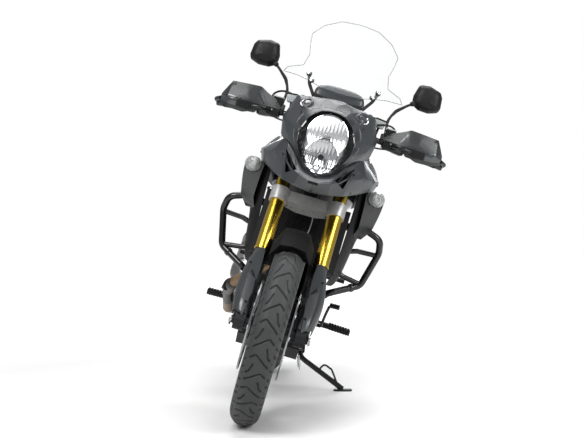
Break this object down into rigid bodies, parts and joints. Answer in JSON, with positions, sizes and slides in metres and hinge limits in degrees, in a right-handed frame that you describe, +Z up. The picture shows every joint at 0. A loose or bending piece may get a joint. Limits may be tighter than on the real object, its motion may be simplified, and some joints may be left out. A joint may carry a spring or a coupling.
{
  "type": "adventure motorcycle",
  "caption": "Adventure motorcycle with a tall screen, gold fork, crash bars and cast wheels, leaning on its side stand.",
  "frame": {"origin": "on the ground, below the middle of the motorcycle's overall box, with the machine leaning on its side stand", "axes": "+Z up, +Y toward the rear of the motorcycle, +X toward the rider's left, the side it leans to"},
  "size_m": [0.9424, 2.2893, 1.4332],
  "materials": {
    "frame": "satin",
    "engine": "satin",
    "black_plastic": "matte",
    "exhaust": "satin",
    "tank_paint": "gloss",
    "seat_cover": "matte",
    "body_grey": "satin",
    "dark_metal": "satin",
    "red_lamp": "gloss",
    "lamp": "gloss",
    "screen": "gloss",
    "bare_aluminium": "satin",
    "chain_steel": "satin",
    "gold": "satin",
    "tyre": "matte",
    "wheel": "satin",
    "disc": "satin"
  },
  "bodies": {
    "chassis": {"main_frame": "frame", "subframe": "frame", "engine_case": "engine", "engine_cylinders": "engine", "radiator": "black_plastic", "exhaust_pipes": "exhaust", "muffler": "exhaust", "fuel_tank": "tank_paint", "seat": "seat_cover", "tail_cowl": "body_grey", "luggage_rack": "dark_metal", "tail_lamp": "red_lamp", "rear_mudguard": "black_plastic", "skid_plate": "dark_metal", "headlamp": "lamp", "front_cowl": "body_grey", "beak": "body_grey", "windscreen": "screen", "instrument_panel": "black_plastic", "side_cowls": "body_grey", "front_indicators": "lamp", "crash_bars": "dark_metal", "footrests": "bare_aluminium", "foot_controls": "bare_aluminium", "swingarm": "dark_metal", "rear_shock": "dark_metal", "chain": "chain_steel", "chain_guard": "black_plastic", "rear_caliper": "dark_metal"},
    "steering": {"triple_clamps": "bare_aluminium", "fork_outer_tubes": "gold", "fork_lower_legs": "dark_metal", "fork_guards": "body_grey", "front_mudguard": "black_plastic", "front_calipers": "dark_metal", "handlebar": "dark_metal", "handlebar_controls": "dark_metal", "handguards": "body_grey", "mirrors": "black_plastic"},
    "front_wheel": {"front_tyre": "tyre", "front_wheel_rim": "wheel", "front_brake_discs": "disc"},
    "rear_wheel": {"rear_tyre": "tyre", "rear_wheel_rim": "wheel", "rear_brake_disc": "disc", "rear_sprocket": "chain_steel"},
    "side_stand": {"side_stand": "dark_metal"}
  },
  "joints": [
    {"name": "steering_turn", "type": "hinge", "parent": "chassis", "child": "steering", "pos_m": [-0.01773, -0.51723, 0.82546], "axis": [0.2563, 0.4305, 0.8654], "range_deg": [-37, 37]},
    {"name": "front_wheel_spin", "type": "hinge", "parent": "steering", "child": "front_wheel", "pos_m": [-0.16818, -0.81781, 0.31757], "axis": [0.9588, 0, -0.284], "continuous": true},
    {"name": "rear_wheel_spin", "type": "hinge", "parent": "chassis", "child": "rear_wheel", "pos_m": [-0.17016, 0.73719, 0.31087], "axis": [0.9588, 0, -0.284], "continuous": true},
    {"name": "side_stand_fold", "type": "hinge", "parent": "chassis", "child": "side_stand", "pos_m": [-0.07796, 0.08219, 0.16443], "axis": [0.9559, 0.2936, 0.0019], "range_deg": [0, 110]}
  ]
}
